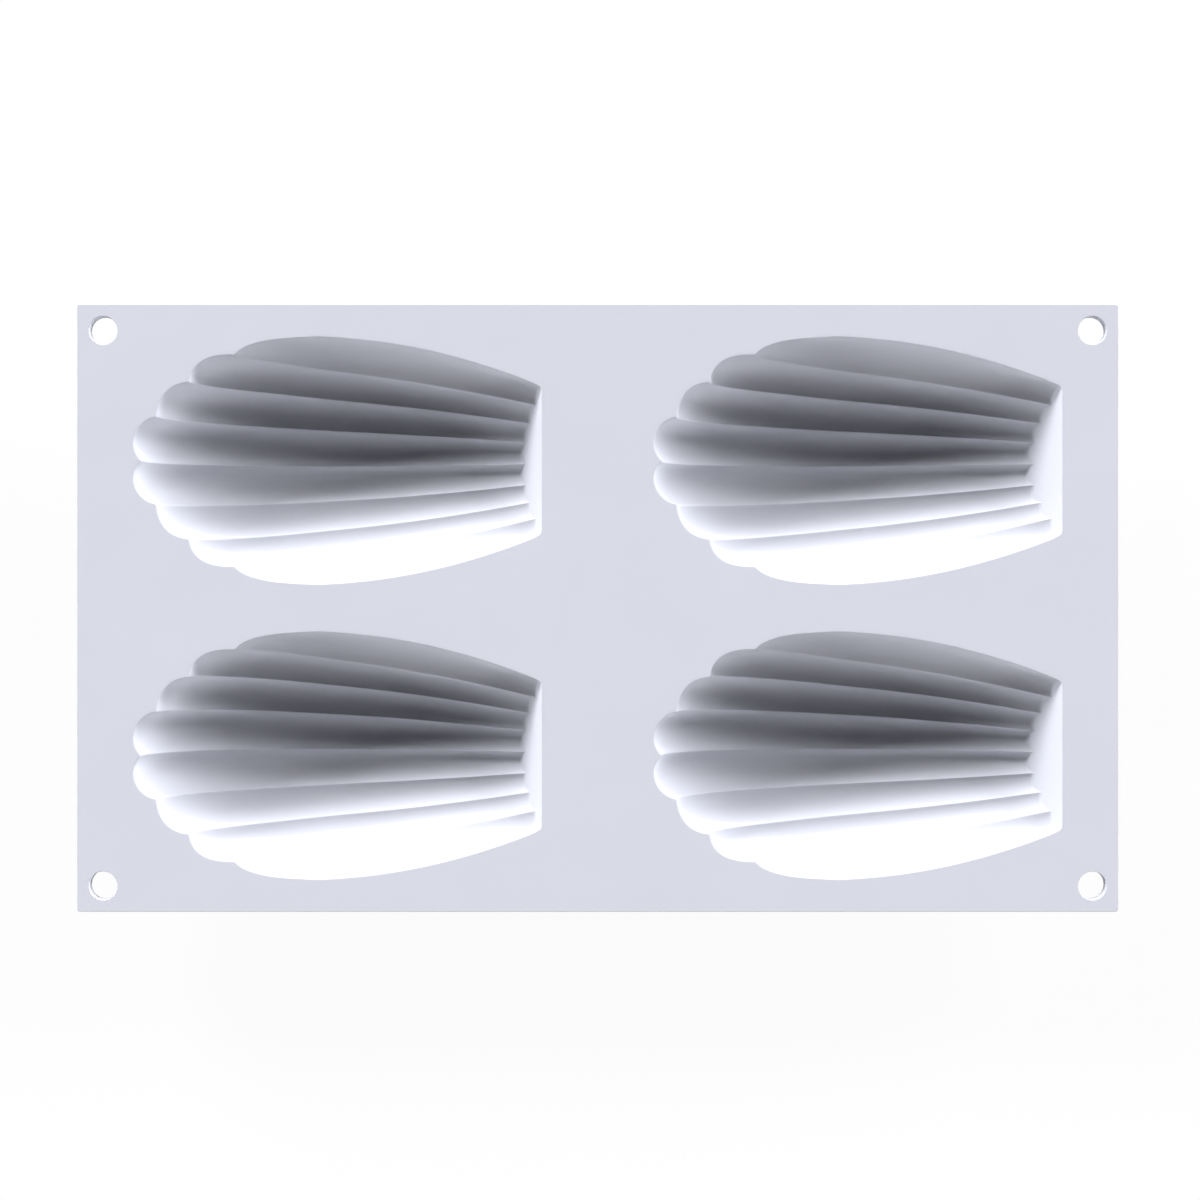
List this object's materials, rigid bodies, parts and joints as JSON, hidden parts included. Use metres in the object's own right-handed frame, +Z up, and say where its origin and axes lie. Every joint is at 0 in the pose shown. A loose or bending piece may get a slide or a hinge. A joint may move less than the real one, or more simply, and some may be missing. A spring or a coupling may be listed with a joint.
{
  "type": "madeleine mould",
  "caption": "Flexible silicone baking mould: flat sheet with fluted shell-shaped cups for cakes and a round hole in each corner.",
  "frame": {"origin": "under the middle of the mould, on the surface that the cups stand on", "axes": "+X along the sheet's length towards the cups' straight ends, +Y across the sheet, +Z up out of the cavities"},
  "size_m": [0.3, 0.175, 0.0288],
  "materials": {
    "silicone": "satin"
  },
  "bodies": {
    "root": {"sheet": "silicone", "cup_back_left": "silicone", "cup_back_right": "silicone", "cup_front_left": "silicone", "cup_front_right": "silicone"}
  },
  "joints": []
}
